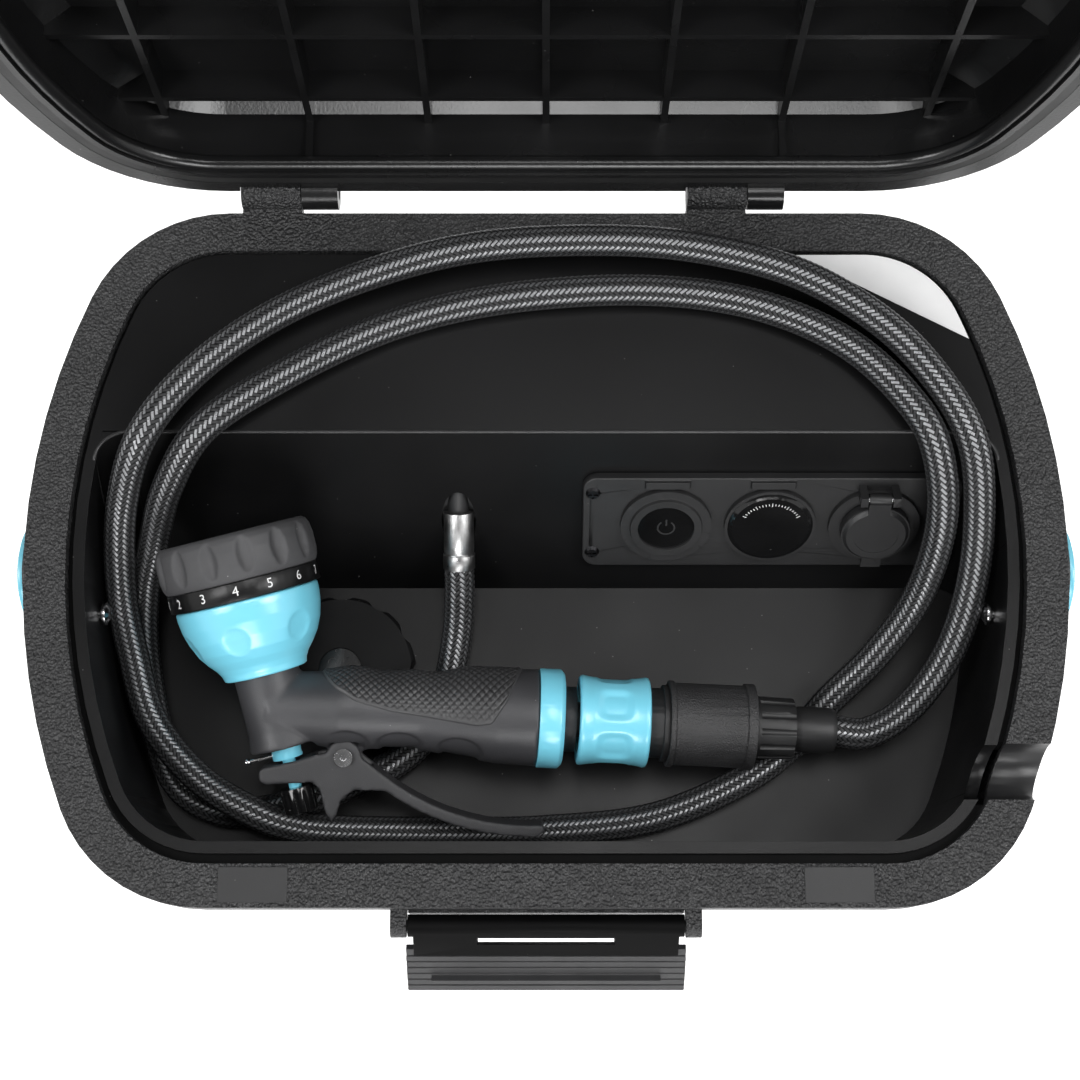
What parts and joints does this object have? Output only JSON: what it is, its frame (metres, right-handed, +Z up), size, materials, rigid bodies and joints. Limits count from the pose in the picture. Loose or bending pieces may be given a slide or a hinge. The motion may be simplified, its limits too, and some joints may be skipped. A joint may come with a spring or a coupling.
{
  "type": "camp shower pump",
  "caption": "Portable pressure shower: lidded water case with a stowage tray, 12 V control panel, braided hose, pistol spray nozzle, latch and swing handle.",
  "frame": {"origin": "middle of the underside, on the floor", "axes": "+Z up, -Y the latch side, +X to the right seen from the latch side"},
  "size_m": [0.43, 0.3618, 0.5523],
  "materials": {
    "case_plastic": "grained black moulding",
    "tray_plastic": "satin black moulding",
    "lid_plastic": "glossy black moulding",
    "latch_plastic": "fine grained black",
    "panel_plastic": "matt black",
    "gauge_plastic": "gloss black",
    "blue_plastic": "gloss light blue",
    "nozzle_plastic": "satin charcoal",
    "soft_grip": "cross-hatched soft rubber",
    "seal_rubber": "smooth rubber",
    "cap_plastic": "matt black",
    "steel_parts": "plated steel",
    "screw_black": "black",
    "tank_plastic": "plain",
    "pump_plastic": "plain",
    "pump_steel": "painted",
    "battery_case": "shrink wrap",
    "hose_braid": "braided black"
  },
  "bodies": {
    "case": {"outer_shell": "case_plastic", "water_tank": "tank_plastic", "top_tray": "tray_plastic", "control_panel": "panel_plastic", "panel_screws": "screw_black", "switch_housing": "panel_plastic", "voltmeter_housing": "gauge_plastic", "voltmeter_lens": "gauge_plastic", "socket_housing": "panel_plastic", "cap_hinge_pin": "steel_parts", "outlet_fitting": "steel_parts", "pump_bracket": "pump_plastic", "pump_motor": "pump_steel", "pump_head": "pump_plastic", "battery_pack": "battery_case", "pickup_tube": "tank_plastic", "delivery_tube": "tank_plastic", "tray_bolts": "steel_parts", "hinge_pins": "steel_parts", "latch_pin": "steel_parts", "pivot_bolts": "steel_parts", "nozzle_body": "nozzle_plastic", "grip_pad": "soft_grip", "head_bell": "blue_plastic", "nozzle_collar": "blue_plastic", "nozzle_nipple": "nozzle_plastic", "nipple_oring": "seal_rubber", "connector_core": "nozzle_plastic", "adapter_body": "nozzle_plastic", "trigger_screw": "steel_parts", "hose": "hose_braid", "hose_ferrule": "steel_parts", "hose_nut": "nozzle_plastic", "hose_cuff": "soft_grip"},
    "lid": {"lid_shell": "lid_plastic", "lid_seal": "seal_rubber"},
    "latch": {"latch_plate": "latch_plastic"},
    "handle": {"handle_bail": "case_plastic", "handle_grip": "soft_grip", "hub_caps": "blue_plastic"},
    "button": {"power_button": "gauge_plastic"},
    "socket_flap": {"socket_cap": "panel_plastic"},
    "filler_cap": {"fill_cap": "cap_plastic", "cap_gasket": "seal_rubber", "vent_insert": "cap_plastic"},
    "dial": {"dial_ring": "nozzle_plastic", "dial_bezel": "soft_grip", "spray_face": "nozzle_plastic"},
    "trigger_lever": {"trigger": "nozzle_plastic"},
    "stem": {"valve_stem": "blue_plastic", "flow_knob": "nozzle_plastic", "lock_wire": "steel_parts"},
    "sleeve": {"connector_sleeve": "blue_plastic"}
  },
  "joints": [
    {"name": "lid_hinge", "type": "hinge", "parent": "case", "child": "lid", "pos_m": [0, 0.1465, 0.263], "axis": [1, 0, 0], "range_deg": [0, 92]},
    {"name": "latch_swing", "type": "hinge", "parent": "case", "child": "latch", "pos_m": [0, -0.1443, 0.248], "axis": [-1, 0, 0], "range_deg": [0, 140]},
    {"name": "handle_swing", "type": "hinge", "parent": "case", "child": "handle", "pos_m": [0, 0, 0.212], "axis": [1, 0, 0], "range_deg": [0, 50]},
    {"name": "button_press", "type": "slide", "parent": "case", "child": "button", "axis": [0, 0.83, -0.5577], "range_m": [0, 0.002], "stiffness_N_per_m": 600, "springref_m": -0.001},
    {"name": "socket_cap_hinge", "type": "hinge", "parent": "case", "child": "socket_flap", "pos_m": [0.134, 0.0231, 0.24319], "axis": [-1, 0, 0], "range_deg": [0, 100]},
    {"name": "fill_cap_turn", "type": "hinge", "parent": "case", "child": "filler_cap", "pos_m": [-0.0855, -0.038, 0.195], "axis": [0, 0, 1], "continuous": true},
    {"name": "dial_turn", "type": "hinge", "parent": "case", "child": "dial", "pos_m": [-0.12067, -0.00803, 0.24472], "axis": [-0.2418, 0.9288, 0.281], "continuous": true},
    {"name": "trigger_squeeze", "type": "hinge", "parent": "case", "child": "trigger_lever", "pos_m": [-0.0803, -0.0766, 0.22282], "axis": [0.049, -0.2775, 0.9595], "range_deg": [0, 9], "stiffness_Nm_per_rad": 2, "springref_deg": -5.73},
    {"name": "stem_slide", "type": "slide", "parent": "case", "child": "stem", "axis": [0.2418, -0.9288, -0.281], "range_m": [0, 0.0036]},
    {"name": "sleeve_slide", "type": "slide", "parent": "case", "child": "sleeve", "axis": [0.9975, -0.0348, -0.061], "range_m": [0, 0.005], "stiffness_N_per_m": 400, "springref_m": -0.002}
  ],
  "couplings": [
    {"joint": "stem_slide", "follows": "trigger_squeeze", "m_per_rad": 0.0218}
  ]
}
